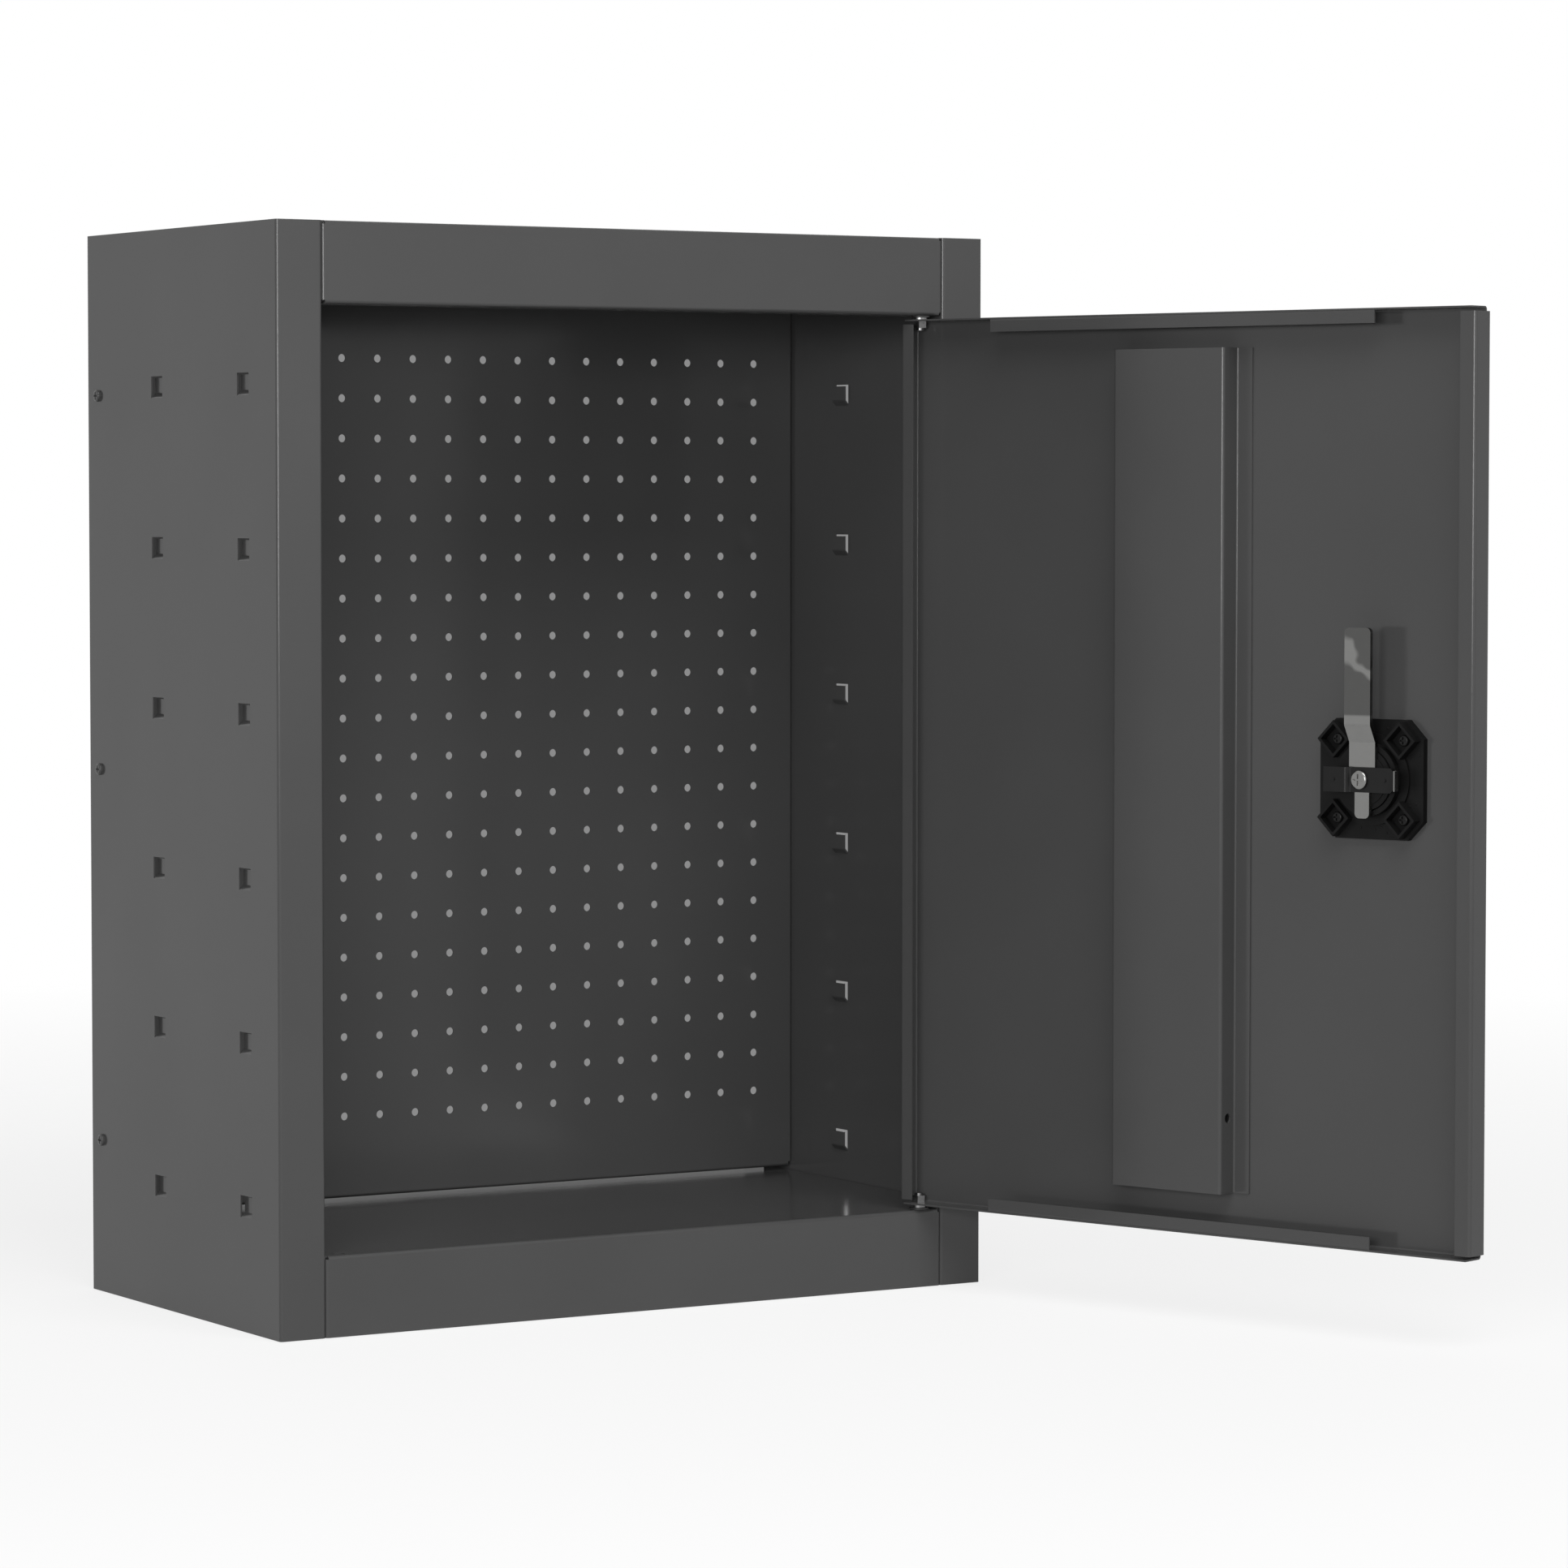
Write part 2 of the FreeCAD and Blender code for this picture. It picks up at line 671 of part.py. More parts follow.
def lock_backplate():
    plate = plate_outline().extrude(Vector(0, plate_thickness, 0))
    ring = rod_y(ring_radius, lock_x, lock_z, plate_face_y, plate_face_y + ring_height)
    step = rod_y(step_ring_radius, lock_x, lock_z, plate_face_y, plate_face_y + step_ring_height)
    pockets = [pocket_block(x, z, pocket_size / 2, pocket_height) for x, z in pocket_places()]
    room = pocket_size / 2 - pocket_wall
    cuts = [rod_y(sleeve_radius + ring_gap, lock_x, lock_z, door_inner_y - cut_margin,
                  plate_face_y + ring_height + cut_margin)]
    for x, z in pocket_places():
        cuts.append(rod_y(plate_screw_radius + screw_clearance, x, z, door_inner_y - cut_margin,
                          plate_face_y + cut_margin))
        cuts.append(pocket_block(x, z, room, pocket_height + cut_margin))
    return joined([plate, ring, step] + pockets).cut(cuts)


def lock_plate_screws():
    length = plate_face_y - door_y + plate_screw_bite
    screw = pan_screw(plate_screw_radius, length, plate_screw_head_radius, plate_screw_head_height)
    screws = [aimed(screw, Vector(0, 1, 0), Vector(x, plate_face_y, z)) for x, z in pocket_places()]
    return Part.makeCompound(screws)


def grip_bar(y0, y1):
    """Bar with round ends, upright while the cam points up."""
    half = grip_length / 2 - grip_width / 2
    bar = block(lock_x - grip_width / 2, lock_x + grip_width / 2, y0, y1, lock_z - half, lock_z + half)
    ends = [rod_y(grip_width / 2, lock_x, lock_z + side * half, y0, y1) for side in (-1, 1)]
    return joined([bar, rod_y(grip_boss_radius, lock_x, lock_z, y0, y1)] + ends)


def lock_handle():
    disc_front = hub_front_y - handle_disc_thickness
    grip_front = disc_front - grip_height
    grip = grip_bar(grip_front, disc_front)
    grip = grip.makeFillet(grip_edge_radius, edges_on_plane(grip, grip_front))
    disc = rod_y(handle_disc_radius, lock_x, lock_z, disc_front, hub_front_y)
    bore = rod_y(cylinder_bore_radius, lock_x, lock_z, grip_front - cut_margin, hub_front_y + cut_margin)
    return joined([disc, grip]).cut(bore)


def lock_hub():
    barrel = rod_y(hub_radius, lock_x, lock_z, hub_front_y, hub_end_y)
    half = square_boss_size / 2
    boss = block(lock_x - half, lock_x + half, hub_end_y, cam_face_y, lock_z - half, lock_z + half)
    half_height = bolt_height / 2 + bolt_side_gap
    channel = block(lock_x - bolt_inner_reach - bolt_travel, lock_x + hub_radius + cut_margin, bolt_room_y,
                    bolt_room_y + bolt_room_depth, lock_z - half_height, lock_z + half_height)
    tail_hole = rod_y(tail_throw + tail_radius + tail_hole_clearance, lock_x, lock_z, cylinder_end_y,
                      bolt_room_y + cut_margin)
    seat = rod_y(cylinder_bore_radius, lock_x, lock_z, hub_front_y - cut_margin, cylinder_end_y)
    thread = rod_y(cam_screw_radius + screw_clearance, lock_x, lock_z,
                   cam_face_y - cam_screw_bite - cam_thickness, cam_face_y + cut_margin)
    return joined([barrel, boss]).cut([channel, tail_hole, seat, thread])


def lock_cylinder():
    front = hub_front_y - handle_disc_thickness - grip_height
    barrel = rod_y(cylinder_radius, lock_x, lock_z, front, cylinder_end_y)
    bore = rod_y(plug_radius + plug_running_clearance, lock_x, lock_z, front - cut_margin,
                 cylinder_end_y + cut_margin)
    return barrel.cut(bore)


def key_plug():
    """Plug with a keyway, and an eccentric tail that works the bolt."""
    front = hub_front_y - handle_disc_thickness - grip_height
    plug = rod_y(plug_radius, lock_x, lock_z, front, cylinder_end_y)
    keyway = block(lock_x - keyway_width / 2, lock_x + keyway_width / 2,
                   front - cut_margin, front + keyway_depth,
                   lock_z - keyway_height / 2, lock_z + keyway_height / 2)
    tail_end = bolt_room_y + bolt_room_depth - tail_end_gap
    tail = rod_y(tail_radius, lock_x - tail_offset, lock_z + tail_offset, cylinder_end_y, tail_end)
    return joined([plug.cut(keyway), tail])


def lock_bolt():
    """Slider in the hub, drawn back: the key plug's tail pushes its nose into a slot of the sleeve."""
    half = bolt_height / 2
    nose = lock_x + hub_radius - bolt_nose_gap
    low_y = bolt_room_y + bolt_side_gap
    slider = block(lock_x - bolt_inner_reach, nose, low_y, low_y + bolt_depth, lock_z - half, lock_z + half)
    slot_half = tail_radius + bolt_slot_clearance
    slot_x = lock_x - tail_offset
    slot = block(slot_x - slot_half, slot_x + slot_half, low_y - cut_margin, low_y + bolt_depth + cut_margin,
                 lock_z + tail_offset - slot_half, lock_z + tail_throw + slot_half)
    return slider.cut(slot)


def lock_cam():
    """Zinc cam: a short stub down, and an arm up that steps away from the door."""
    path = [(hub_end_y, lock_z - cam_stub_reach), (hub_end_y, lock_z + cam_fold_rise),
            (hub_end_y + cam_joggle, lock_z + cam_fold_rise + cam_joggle_rise),
            (hub_end_y + cam_joggle, lock_z + cam_reach)]
    cam = folded_strip(path, -1, in_side_view(lock_x - cam_width / 2), Vector(cam_width, 0, 0), cam_thickness)
    cam = cam.makeFillet(cam_corner_radius, edges_through(cam, z=lock_z + cam_reach))
    stub_top = lock_z - bar_height / 2
    stub_low = lock_z - cam_stub_reach - cut_margin
    cuts = []
    for side in (-1, 1):
        inner = lock_x + side * cam_stub_width / 2
        outer = lock_x + side * (cam_width / 2 + cut_margin)
        cuts.append(block(min(inner, outer), max(inner, outer), hub_end_y - cut_margin,
                          cam_face_y + cut_margin, stub_low, stub_top))
    half = square_boss_size / 2 + square_boss_clearance
    cuts.append(block(lock_x - half, lock_x + half, hub_end_y - cut_margin, cam_face_y + cut_margin,
                      lock_z - half, lock_z + half))
    cam = cam.cut(cuts)
    return cam.makeFillet(cam_corner_radius, edges_through(cam, z=lock_z - cam_stub_reach))


def cam_screw_hole():
    return rod_y(cam_screw_radius + screw_clearance, lock_x, lock_z, cam_face_y - cut_margin,
                 bar_face_y + cut_margin)


def cam_stop_plate():
    """Thin plate under the crossbar, turned up at the latch-side end."""
    path = [(lock_x + stop_plate_short_end, cam_face_y), (lock_x - stop_plate_long_end, cam_face_y),
            (lock_x - stop_plate_long_end, cam_face_y + stop_plate_turn_up)]
    plate = folded_strip(path, -1, in_plan(lock_z - stop_plate_height / 2), Vector(0, 0, stop_plate_height),
                         stop_plate_thickness, stop_plate_thickness)
    return plate.cut(cam_screw_hole())


def cam_crossbar():
    """Stepped bar with clipped corners: the hinge-side end stands higher than the rest."""
    latch_end = lock_x - bar_half_length
    step_end = lock_x + bar_step_start + bar_step_run
    raised_y = bar_seat_y + bar_step_height
    path = [(lock_x + bar_half_length, raised_y), (step_end, raised_y),
            (lock_x + bar_step_start, bar_seat_y), (latch_end, bar_seat_y)]
    bar = folded_strip(path, -1, in_plan(lock_z - bar_height / 2), Vector(0, 0, bar_height),
                       bar_thickness, bar_thickness / 2)
    bar = bar.makeChamfer(bar_corner, edges_through(bar, x=latch_end))
    dimples = []
    for x, face in ((lock_x - bar_dimple_reach, bar_face_y),
                    (lock_x + bar_dimple_reach, bar_face_y + bar_step_height)):
        dimples.append(rod_y(bar_dimple_radius, x, lock_z, face - bar_thickness / 2,
                             face + bar_dimple_height))
    return joined([bar] + dimples).cut(cam_screw_hole())


def cam_screw():
    length = bar_face_y - cam_face_y + cam_screw_bite
    screw = pan_screw(cam_screw_radius, length, cam_screw_head_radius, cam_screw_head_height)
    return aimed(screw, Vector(0, 1, 0), Vector(lock_x, bar_face_y, lock_z))


# Every node, the door's own pieces swung open

def fixed_nodes():
    left = side_panel()
    return {
        "left_side_panel": left,
        "right_side_panel": mirrored(left),
        "top_panel": top_panel(),
        "bottom_panel": bottom_panel(),
        "back_panel": back_panel(),
        "back_panel_screws": back_panel_screws(),
        "top_hinge_bush": hinge_bush(rail_under_z, -1),
        "bottom_hinge_bush": hinge_bush(floor_z, 1),
    }


def door_nodes():
    nuts = [hinge_nut(door_low_z + sheet, 1), hinge_nut(door_high_z - sheet, -1)]
    return {
        "door_panel": door_panel(),
        "door_stiffener": door_stiffener(),
        "top_hinge_pin": hinge_pin(rail_under_z, -1, door_high_z),
        "bottom_hinge_pin": hinge_pin(floor_z, 1, door_low_z),
        "hinge_nuts": Part.makeCompound(nuts),
        "lock_escutcheon": lock_escutcheon(),
        "lock_backplate": lock_backplate(),
        "lock_plate_screws": lock_plate_screws(),
        "lock_handle": lock_handle(),
        "lock_hub": lock_hub(),
        "lock_cylinder": lock_cylinder(),
        "key_plug": key_plug(),
        "lock_bolt": lock_bolt(),
        "lock_cam": lock_cam(),
        "cam_stop_plate": cam_stop_plate(),
        "cam_crossbar": cam_crossbar(),
        "cam_screw": cam_screw(),
    }


def main():
    os.makedirs("parts", exist_ok=True)
    nodes = fixed_nodes()
    for name, shape in door_nodes().items():
        shape.rotate(hinge_axis, Vector(0, 0, 1), door_open_angle)
        nodes[name] = shape
    for name, shape in nodes.items():
        shape.exportStep("parts/" + name + ".step")
        box = shape.BoundBox
        print(name, "solids", len(shape.Solids), "valid", shape.isValid(), "volume", round(shape.Volume, 1),
              "size", round(box.XLength, 2), round(box.YLength, 2), round(box.ZLength, 2))


main()
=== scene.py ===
import json
import math

import bmesh
import bpy
from mathutils import Matrix, Vector


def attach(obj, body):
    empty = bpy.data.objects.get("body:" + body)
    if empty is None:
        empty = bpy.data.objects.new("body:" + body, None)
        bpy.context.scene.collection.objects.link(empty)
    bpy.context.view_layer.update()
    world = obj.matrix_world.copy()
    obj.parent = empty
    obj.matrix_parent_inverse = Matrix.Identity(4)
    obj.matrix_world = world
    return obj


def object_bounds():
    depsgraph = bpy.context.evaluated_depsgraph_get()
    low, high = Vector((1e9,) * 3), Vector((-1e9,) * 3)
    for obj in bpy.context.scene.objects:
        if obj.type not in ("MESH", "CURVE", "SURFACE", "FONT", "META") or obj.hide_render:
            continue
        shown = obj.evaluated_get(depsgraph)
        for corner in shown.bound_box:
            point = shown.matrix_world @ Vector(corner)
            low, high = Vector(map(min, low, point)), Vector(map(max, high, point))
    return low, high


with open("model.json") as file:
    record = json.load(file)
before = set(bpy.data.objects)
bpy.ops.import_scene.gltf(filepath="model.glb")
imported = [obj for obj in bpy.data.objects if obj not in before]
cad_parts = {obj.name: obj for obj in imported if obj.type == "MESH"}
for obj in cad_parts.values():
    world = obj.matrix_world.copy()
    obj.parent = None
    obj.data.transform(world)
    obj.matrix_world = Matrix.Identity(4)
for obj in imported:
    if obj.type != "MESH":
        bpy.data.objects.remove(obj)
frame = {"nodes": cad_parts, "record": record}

cad_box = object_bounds()

# Camera, at the photograph's viewing angle
photo_side_px = 1932.0
focal_px = 6935.1
sensor_width_mm = 36.0
camera_place = Vector((-1.6874, -3.0538, 0.4902))
camera_forward = Vector((0.5209, 0.8521, -0.0509))
camera_right = Vector((0.8532, -0.5215, 0.0004))

# Light: places and sizes in metres, powers in watts
ambient_strength = 0.03
background_strength = 1.0
white = (1.0, 1.0, 1.0, 1.0)
lamps = {
    "corner_lamp": {"place": Vector((-2.18, -2.34, 0.70)), "width": 1.8, "height": 0.7, "power": 50.0},
    "low_right_lamp": {"place": Vector((1.6, -3.4, 1.0)), "width": 1.8, "height": 1.2, "power": 2.4},
    "overhead_lamp": {"place": Vector((0.0, -2.3, 3.1)), "width": 2.2, "height": 2.2, "power": 76.0},
    "high_left_lamp": {"place": Vector((-1.5, -2.0, 2.9)), "width": 1.6, "height": 1.6, "power": 28.0},
    "right_lamp": {"place": Vector((0.6, -3.8, 1.2)), "width": 2.0, "height": 2.0, "power": 8.4},
    "rear_lamp": {"place": Vector((2.2, 3.6, 3.0)), "width": 5.0, "height": 5.0, "power": 80.0},
}

# Floor
floor_radius = 2.5
floor_segments = 96
floor_drop = 0.0004
floor_colour = (0.84, 0.84, 0.84, 1.0)
floor_lift = 0.8
floor_fade_start = 0.3
floor_fade_end = 0.9

# Cards of painted shade behind the peg holes and behind the right side's slits: a glowing grey that stands
# in for the shaded wall behind the cabinet
painted_shade_grey = (0.26, 0.26, 0.26, 1.0)
card_gap = 0.004
card_half_side = 0.5
rear_card_width = 0.483
rear_card_height = 0.58
rear_card_middle_z = 0.339
side_card_depth = 0.24
side_card_height = 0.58
side_card_middle_z = 0.325

# Cabinet sizes that the cards follow
cabinet_half_width = 0.243
cabinet_rear_y = 0.131

# Hinge axis and lock, with the door shut
hinge_axis_place = Vector((0.2021, -0.124, 0.0))
door_open_angle = math.radians(108.5)
lock_axis_x = -0.1335
lock_axis_z = 0.3265
lock_plate_face_y = -0.1255

# Mould marks on the lock's inner plate: places from the lock's axis, towards the hinge and up
mould_mark_radius = 0.0007
mould_mark_height = 0.0003
mould_mark_segments = 16
mould_mark_bevel = 0.00015
mould_mark_bevel_steps = 2
mould_mark_places = [(-0.0110, 0.0300), (-0.0270, 0.0135), (-0.0335, 0.0145), (-0.0270, -0.0150),
                     (-0.0310, -0.0135), (0.0175, -0.0300), (0.0075, -0.0285), (-0.0025, -0.0295),
                     (-0.0070, -0.0280), (-0.0105, -0.0310)]
same_height = 1e-6

# Powder coat: colours as linear light, noise scales per metre, depths in metres
coat_dark = (0.056, 0.056, 0.056, 1.0)
coat_light = (0.063, 0.063, 0.063, 1.0)
coat_gloss = 0.22
coat_rough_low = 0.12
coat_rough_high = 0.17
coat_cloud_scale = 7.0
coat_smudge_scale = 16.0
coat_wave_scale = 9.0
coat_wave_strength = 0.25
coat_wave_depth = 0.002
coat_peel_scale = 620.0
coat_peel_strength = 0.06
coat_peel_depth = 0.0003

# Zinc of the lock's cam: above its joggle the arm has a painted dark reflection in its colour, but for one
# swirl of painted highlight; heights in metres
zinc_own_and_swirl_highlight = (0.21, 0.21, 0.205, 1.0)
zinc_painted_dark_reflection = (0.095, 0.095, 0.093, 1.0)
dark_reflection_arm_foot = 0.362
dark_reflection_arm_head = 0.366
highlight_swirl_foot = 0.388
highlight_swirl_head = 0.413
highlight_swirl_edge = 0.016
highlight_swirl_drift = 0.006
highlight_swirl_scale = 75.0
highlight_swirl_slant = 0.8
lock_open_y = -0.44

# Grain and dents of the zinc
zinc_rough_low = 0.16
zinc_rough_high = 0.26
zinc_grain_scale = 300.0
dent_scale = 26.0
dent_distortion = 0.8
dent_strength = 0.3
dent_depth = 0.003

# Other metals and plastics
metal_grain_scale = 900.0
metal_grain_strength = 0.05
plastic_grain_scale = 1400.0
plastic_grain_strength = 0.08
plastic_cloud_scale = 60.0
grain_depth = 0.0002
brass_dark = (0.55, 0.42, 0.18, 1.0)
brass_light = (0.65, 0.50, 0.23, 1.0)

# Detail of the noises, from plain to finest
plain_detail = 1.0
fine_detail = 2.0
finest_detail = 3.0

# Turn of a lying shape that stands it up
quarter_turn = math.radians(90.0)

# The middle part of a noise, which the finishes spread over their ranges
noise_low = 0.25
noise_high = 0.75


# Node helpers

def new_finish(name):
    """A new material, its node tree, its Principled shader and its object coordinates."""
    material = bpy.data.materials.new(name)
    material.use_nodes = True
    tree = material.node_tree
    shader = tree.nodes["Principled BSDF"]
    coordinates = tree.nodes.new("ShaderNodeTexCoord").outputs["Object"]
    return material, tree, shader, coordinates


def noise(tree, coordinates, scale, detail, distortion=0.0):
    """Soft noise in space, from 0 to 1."""
    node = tree.nodes.new("ShaderNodeTexNoise")
    node.inputs["Scale"].default_value = scale
    node.inputs["Detail"].default_value = detail
    node.inputs["Distortion"].default_value = distortion
    tree.links.new(coordinates, node.inputs["Vector"])
    return node.outputs["Fac"]


def ranged(tree, value, low, high):
    """The middle of a noise spread over low to high."""
    node = tree.nodes.new("ShaderNodeMapRange")
    node.inputs["From Min"].default_value = noise_low
    node.inputs["From Max"].default_value = noise_high
    node.inputs["To Min"].default_value = low
    node.inputs["To Max"].default_value = high
    tree.links.new(value, node.inputs["Value"])
    return node.outputs["Result"]


def blended(tree, value, dark, light):
    """A colour between dark and light, by the middle of a value's range."""
    node = tree.nodes.new("ShaderNodeValToRGB")
    node.color_ramp.elements[0].position = noise_low
    node.color_ramp.elements[0].color = dark
    node.color_ramp.elements[1].position = noise_high
    node.color_ramp.elements[1].color = light
    tree.links.new(value, node.inputs["Fac"])
    return node.outputs["Color"]


def bumped(tree, shader, height, strength, distance, under=None):
    """Bump on the shader's normal; under is the normal of a coarser bump below it."""
    node = tree.nodes.new("ShaderNodeBump")
    node.inputs["Strength"].default_value = strength
    node.inputs["Distance"].default_value = distance
    tree.links.new(height, node.inputs["Height"])
    if under:
        tree.links.new(under, node.inputs["Normal"])
    tree.links.new(node.outputs["Normal"], shader.inputs["Normal"])
    return node.outputs["Normal"]


def higher_of(tree, first, second):
    """The larger of two values."""
    node = tree.nodes.new("ShaderNodeMath")
    node.operation = "MAXIMUM"
    tree.links.new(first, node.inputs[0])
    tree.links.new(second, node.inputs[1])
    return node.outputs["Value"]


def product_of(tree, first, second):
    """A value times another value or a plain number."""
    node = tree.nodes.new("ShaderNodeMath")
    node.operation = "MULTIPLY"
    tree.links.new(first, node.inputs[0])
    if isinstance(second, float):
        node.inputs[1].default_value = second
    else:
        tree.links.new(second, node.inputs[1])
    return node.outputs["Value"]


def sum_of(tree, first, second):
    """Two values added."""
    node = tree.nodes.new("ShaderNodeMath")
    node.operation = "ADD"
    tree.links.new(first, node.inputs[0])
    tree.links.new(second, node.inputs[1])
    return node.outputs["Value"]


def parts_of(tree, coordinates):
    """The outputs X, Y and Z of a place."""
    node = tree.nodes.new("ShaderNodeSeparateXYZ")
    tree.links.new(coordinates, node.inputs["Vector"])
    return node.outputs


def stepped(tree, value, at_zero, at_one):
    """A smooth step from 0 at one value to 1 at the other."""
    node = tree.nodes.new("ShaderNodeMapRange")
    node.interpolation_type = "SMOOTHSTEP"
    node.inputs["From Min"].default_value = at_zero
    node.inputs["From Max"].default_value = at_one
    tree.links.new(value, node.inputs["Value"])
    return node.outputs["Result"]


# Finishes

def powder_coat(name, dark, light):
    """Semi-gloss grey powder coat: faint clouds, handling smudges and a fine orange peel."""
    material, tree, shader, place = new_finish(name)
    cloud = noise(tree, place, coat_cloud_scale, finest_detail)
    smudge = noise(tree, place, coat_smudge_scale, finest_detail)
    wave = noise(tree, place, coat_wave_scale, plain_detail)
    peel = noise(tree, place, coat_peel_scale, fine_detail)
    shader.inputs["Specular IOR Level"].default_value = coat_gloss
    tree.links.new(blended(tree, cloud, dark, light), shader.inputs["Base Color"])
    tree.links.new(ranged(tree, smudge, coat_rough_low, coat_rough_high), shader.inputs["Roughness"])
    ripple = bumped(tree, shader, wave, coat_wave_strength, coat_wave_depth)
    bumped(tree, shader, peel, coat_peel_strength, coat_peel_depth, ripple)
    return material


def zinc_with_painted_reflections(name):
    """Zinc plate with soft dents: its own bright colour below the arm, and on the arm a painted dark
    reflection but for one swirl of painted highlight.
    """
    material, tree, shader, place = new_finish(name)
    dents = noise(tree, place, dent_scale, plain_detail, dent_distortion)
    grain = noise(tree, place, zinc_grain_scale, fine_detail)
    parts = parts_of(tree, place)
    lean = product_of(tree, parts["Y"], -highlight_swirl_slant)
    drift = ranged(tree, noise(tree, place, highlight_swirl_scale, plain_detail), -highlight_swirl_drift, highlight_swirl_drift)
    waved = sum_of(tree, sum_of(tree, parts["Z"], lean), drift)
    foot = highlight_swirl_foot - highlight_swirl_slant * lock_open_y
    head = highlight_swirl_head - highlight_swirl_slant * lock_open_y
    over_foot = stepped(tree, waved, foot, foot + highlight_swirl_edge)
    under_head = stepped(tree, waved, head, head - highlight_swirl_edge)
    beside_highlight_swirl = stepped(tree, product_of(tree, over_foot, under_head), 1.0, 0.0)
    # The arm above its joggle takes a painted dark reflection, except in the swirl, a slanted band of
    # painted highlight
    painted_dark_reflection = product_of(tree, stepped(tree, parts["Z"], dark_reflection_arm_foot, dark_reflection_arm_head), beside_highlight_swirl)
    shader.inputs["Metallic"].default_value = 1.0
    # Base colour: the zinc's own colour below the arm, painted dark reflection on it, painted highlight in
    # the swirl
    tree.links.new(blended(tree, painted_dark_reflection, zinc_own_and_swirl_highlight, zinc_painted_dark_reflection), shader.inputs["Base Color"])
    tree.links.new(ranged(tree, grain, zinc_rough_low, zinc_rough_high), shader.inputs["Roughness"])
    bumped(tree, shader, dents, dent_strength, dent_depth)
    return material


def plain_metal(name, dark, light, rough_low, rough_high):
    """Turned or cast metal with fine grain."""
    material, tree, shader, place = new_finish(name)
    grain = noise(tree, place, metal_grain_scale, finest_detail)
    shader.inputs["Metallic"].default_value = 1.0
    tree.links.new(blended(tree, grain, dark, light), shader.inputs["Base Color"])
    tree.links.new(ranged(tree, grain, rough_low, rough_high), shader.inputs["Roughness"])
    bumped(tree, shader, grain, metal_grain_strength, grain_depth)
    return material


def moulded_plastic(name, dark, light, rough_low, rough_high, gloss):
    """Moulded plastic or black coat with a faint spark-eroded grain."""
    material, tree, shader, place = new_finish(name)
    grain = noise(tree, place, plastic_grain_scale, fine_detail)
    cloud = noise(tree, place, plastic_cloud_scale, fine_detail)
    shader.inputs["Specular IOR Level"].default_value = gloss
    tree.links.new(blended(tree, cloud, dark, light), shader.inputs["Base Color"])
    tree.links.new(ranged(tree, cloud, rough_low, rough_high), shader.inputs["Roughness"])
    bumped(tree, shader, grain, plastic_grain_strength, grain_depth)
    return material


def grey(level):
    """A grey as linear light."""
    return (level, level, level, 1.0)


def dress_nodes():
    """Every node takes the finish of its record slot."""
    finishes = {
        "cabinet_paint": powder_coat("cabinet_powder_coat", coat_dark, coat_light),
        "door_paint": powder_coat("door_powder_coat", coat_dark, coat_light),
        "zinc": zinc_with_painted_reflections("zinc_with_painted_reflections"),
        "steel_fasteners": plain_metal("plated_fasteners", dark=grey(0.16), light=grey(0.24),
                                       rough_low=0.25, rough_high=0.40),
        "black_plastic": moulded_plastic("black_plastic", dark=grey(0.004), light=grey(0.006),
                                         rough_low=0.40, rough_high=0.52, gloss=0.12),
        "bush_plastic": moulded_plastic("bush_plastic", dark=grey(0.02), light=grey(0.03),
                                        rough_low=0.45, rough_high=0.55, gloss=0.4),
        "die_cast": plain_metal("die_cast", dark=grey(0.32), light=grey(0.42),
                                rough_low=0.35, rough_high=0.50),
        "black_steel": moulded_plastic("black_steel", dark=grey(0.006), light=grey(0.009),
                                       rough_low=0.32, rough_high=0.42, gloss=0.18),
        "key_brass": plain_metal("key_brass", dark=brass_dark, light=brass_light,
                                 rough_low=0.22, rough_high=0.35),
    }
    for subpart in frame["record"]["subparts"]:
        node = frame["nodes"][subpart["node"]]
        node.data.materials.clear()
        node.data.materials.append(finishes[subpart["material_slot"]])
    return finishes


# Small details

def with_door_open():
    """Turn about the hinge axis from the shut door to the open one."""
    to_axis = Matrix.Translation(hinge_axis_place)
    return to_axis @ Matrix.Rotation(door_open_angle, 4, "Z") @ to_axis.inverted()


def mould_marks(finish):
    """Tiny round marks that the mould's ejector pins leave on the lock's inner plate."""
    shape = bmesh.new()
    facing_inside = Matrix.Rotation(-quarter_turn, 4, "X")
    for along, up in mould_mark_places:
        centre = Vector((lock_axis_x + along, lock_plate_face_y, lock_axis_z + up))
        made = bmesh.ops.create_cone(shape, cap_ends=True, segments=mould_mark_segments,
                                     radius1=mould_mark_radius, radius2=mould_mark_radius,
                                     depth=2 * mould_mark_height,
                                     matrix=Matrix.Translation(centre) @ facing_inside)
        top_y = centre.y + mould_mark_height
        own_edges = [edge for edge in shape.edges if all(vert in made["verts"] for vert in edge.verts)]
        rim = [edge for edge in own_edges
               if all(abs(vert.co.y - top_y) < same_height for vert in edge.verts)]
        bmesh.ops.bevel(shape, geom=rim, offset=mould_mark_bevel, offset_type="OFFSET",
                        segments=mould_mark_bevel_steps, profile=0.5, affect="EDGES", material=-1)
    bmesh.ops.transform(shape, matrix=with_door_open(), verts=shape.verts)
    mesh = bpy.data.meshes.new("mould_marks")
    shape.to_mesh(mesh)
    shape.free()
    mesh.materials.append(finish)
    piece = bpy.data.objects.new("mould_marks", mesh)
    bpy.context.scene.collection.objects.link(piece)
    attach(piece, "door")


# Stage: floor, cards of painted shade, world, lamps and camera

def seen_by(tree, ray_kinds):
    """1 for rays of the named kinds, 0 for all others."""
    path = tree.nodes.new("ShaderNodeLightPath")
    share = path.outputs[ray_kinds[0]]
    for kind in ray_kinds[1:]:
        share = higher_of(tree, share, path.outputs[kind])
    return share


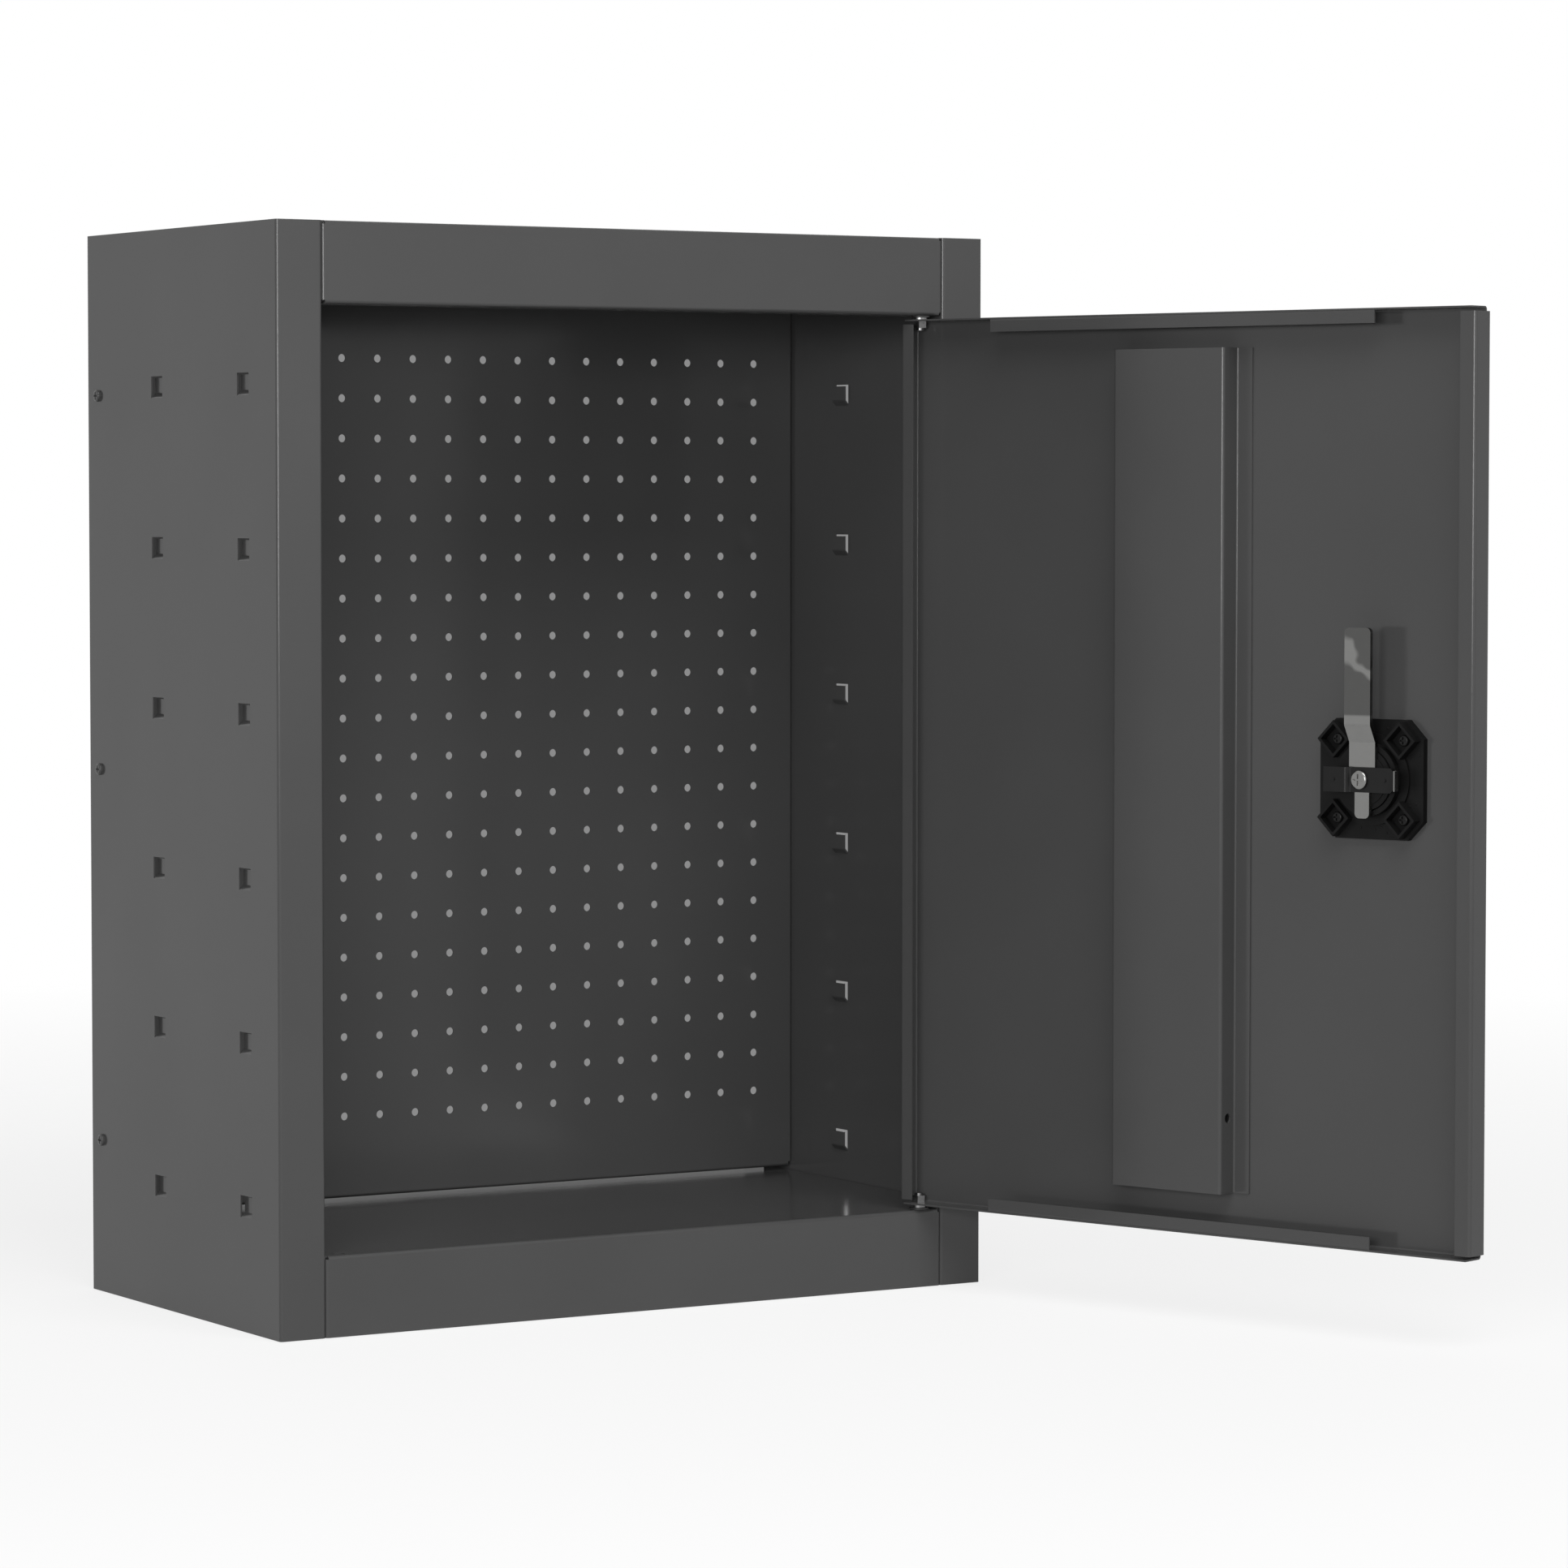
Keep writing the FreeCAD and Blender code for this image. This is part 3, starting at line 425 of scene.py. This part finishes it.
def sees_background(tree):
    """1 for rays that show the background: straight from the camera, mirrored or passed through."""
    return seen_by(tree, ("Is Camera Ray", "Is Glossy Ray", "Is Transmission Ray"))


def mixed(tree, share, first, second):
    """The first shader where the share is 0, the second where it is 1."""
    node = tree.nodes.new("ShaderNodeMixShader")
    tree.links.new(share, node.inputs["Fac"])
    tree.links.new(first, node.inputs[1])
    tree.links.new(second, node.inputs[2])
    return node.outputs["Shader"]


def glow(tree, colour):
    """A shader that shows its colour as it is."""
    node = tree.nodes.new("ShaderNodeEmission")
    node.inputs["Color"].default_value = colour
    return node.outputs["Emission"]


def white_world():
    """White to the eye and in mirrors, and a faint light from all sides."""
    world = bpy.data.worlds.new("white_world")
    bpy.context.scene.world = world
    world.use_nodes = True
    tree = world.node_tree
    tree.nodes.clear()
    ambient = tree.nodes.new("ShaderNodeBackground")
    ambient.inputs["Strength"].default_value = ambient_strength
    ambient.inputs["Color"].default_value = white
    shown = tree.nodes.new("ShaderNodeBackground")
    shown.inputs["Strength"].default_value = background_strength
    shown.inputs["Color"].default_value = white
    output = tree.nodes.new("ShaderNodeOutputWorld")
    shader = mixed(tree, sees_background(tree), ambient.outputs["Background"], shown.outputs["Background"])
    tree.links.new(shader, output.inputs["Surface"])


def stage_piece(name, shape):
    """A stage object from a bmesh, with an empty material."""
    mesh = bpy.data.meshes.new(name)
    shape.to_mesh(mesh)
    shape.free()
    piece = bpy.data.objects.new(name, mesh)
    bpy.context.scene.collection.objects.link(piece)
    material = bpy.data.materials.new(name)
    material.use_nodes = True
    material.node_tree.nodes.clear()
    mesh.materials.append(material)
    return material.node_tree


def pale_floor():
    """Round pale floor that fades into the white background at its rim."""
    shape = bmesh.new()
    bmesh.ops.create_circle(shape, cap_ends=True, radius=floor_radius, segments=floor_segments,
                            matrix=Matrix.Translation((0.0, 0.0, -floor_drop)))
    tree = stage_piece("pale_floor", shape)
    place = tree.nodes.new("ShaderNodeTexCoord")
    spread = tree.nodes.new("ShaderNodeVectorMath")
    spread.operation = "LENGTH"
    fade = tree.nodes.new("ShaderNodeMapRange")
    fade.inputs["From Min"].default_value = floor_fade_start * floor_radius
    fade.inputs["From Max"].default_value = floor_fade_end * floor_radius
    diffuse = tree.nodes.new("ShaderNodeBsdfDiffuse")
    diffuse.inputs["Color"].default_value = floor_colour
    clear = tree.nodes.new("ShaderNodeBsdfTransparent")
    output = tree.nodes.new("ShaderNodeOutputMaterial")
    tree.links.new(place.outputs["Object"], spread.inputs[0])
    tree.links.new(spread.outputs["Value"], fade.inputs["Value"])
    lifted = product_of(tree, sees_background(tree), floor_lift)
    surface = mixed(tree, lifted, diffuse.outputs["BSDF"], glow(tree, white))
    shader = mixed(tree, fade.outputs["Result"], surface, clear.outputs["BSDF"])
    tree.links.new(shader, output.inputs["Surface"])


def painted_shade_card(name, place, width, height, ray_kinds):
    """Card that glows a flat grey of painted shade, for a shaded wall behind the cabinet; only the named
    kinds of ray see it, and only from its front side.
    """
    shape = bmesh.new()
    bmesh.ops.create_grid(shape, x_segments=1, y_segments=1, size=card_half_side)
    bmesh.ops.scale(shape, vec=(width, height, 1.0), verts=shape.verts)
    bmesh.ops.transform(shape, matrix=place, verts=shape.verts)
    tree = stage_piece(name, shape)
    side = tree.nodes.new("ShaderNodeNewGeometry")
    front = tree.nodes.new("ShaderNodeMath")
    front.operation = "SUBTRACT"
    front.inputs[0].default_value = 1.0
    tree.links.new(side.outputs["Backfacing"], front.inputs[1])
    clear = tree.nodes.new("ShaderNodeBsdfTransparent")
    output = tree.nodes.new("ShaderNodeOutputMaterial")
    shown = product_of(tree, seen_by(tree, ray_kinds), front.outputs["Value"])
    # The glow is a flat grey of painted shade, not a lamp
    shader = mixed(tree, shown, clear.outputs["BSDF"], glow(tree, painted_shade_grey))
    tree.links.new(shader, output.inputs["Surface"])


def painted_shade_cards():
    """Cards of painted shade seen through the peg holes and through the right side's slits."""
    facing_front = Matrix.Rotation(quarter_turn, 4, "X")
    facing_left = Matrix.Rotation(-quarter_turn, 4, "Y")
    rear = Matrix.Translation((0.0, cabinet_rear_y - card_gap, rear_card_middle_z))
    side = Matrix.Translation((cabinet_half_width + card_gap, 0.0, side_card_middle_z))
    painted_shade_card("rear_card", rear @ facing_front, rear_card_width, rear_card_height,
              ("Is Camera Ray", "Is Glossy Ray"))
    painted_shade_card("side_card", side @ facing_left, side_card_height, side_card_depth, ("Is Camera Ray",))


def soft_lamp(name, lamp):
    """Soft lamp that faces the middle of the object."""
    light = bpy.data.lights.new(name, "AREA")
    light.shape = "RECTANGLE"
    light.size = lamp["width"]
    light.size_y = lamp["height"]
    light.energy = lamp["power"]
    holder = bpy.data.objects.new(name, light)
    target = (cad_box[0] + cad_box[1]) / 2
    holder.rotation_euler = (target - lamp["place"]).to_track_quat("-Z", "Y").to_euler()
    holder.location = lamp["place"]
    bpy.context.scene.collection.objects.link(holder)


def photo_camera():
    """Camera with the photograph's place, direction and frame."""
    camera = bpy.data.cameras.new("photo_camera")
    camera.sensor_width = sensor_width_mm
    camera.lens = focal_px / photo_side_px * sensor_width_mm
    holder = bpy.data.objects.new("photo_camera", camera)
    forward = camera_forward.normalized()
    right = (camera_right - forward * camera_right.dot(forward)).normalized()
    up = right.cross(forward)
    turn = Matrix((right, up, -forward)).transposed()
    holder.matrix_world = Matrix.Translation(camera_place) @ turn.to_4x4()
    bpy.context.scene.collection.objects.link(holder)
    bpy.context.scene.camera = holder


# The dressed part on its stage

finishes = dress_nodes()
mould_marks(finishes["black_plastic"])
white_world()
pale_floor()
painted_shade_cards()
for lamp_name, lamp_values in lamps.items():
    soft_lamp(lamp_name, lamp_values)
photo_camera()
bpy.context.scene.view_settings.view_transform = "Standard"
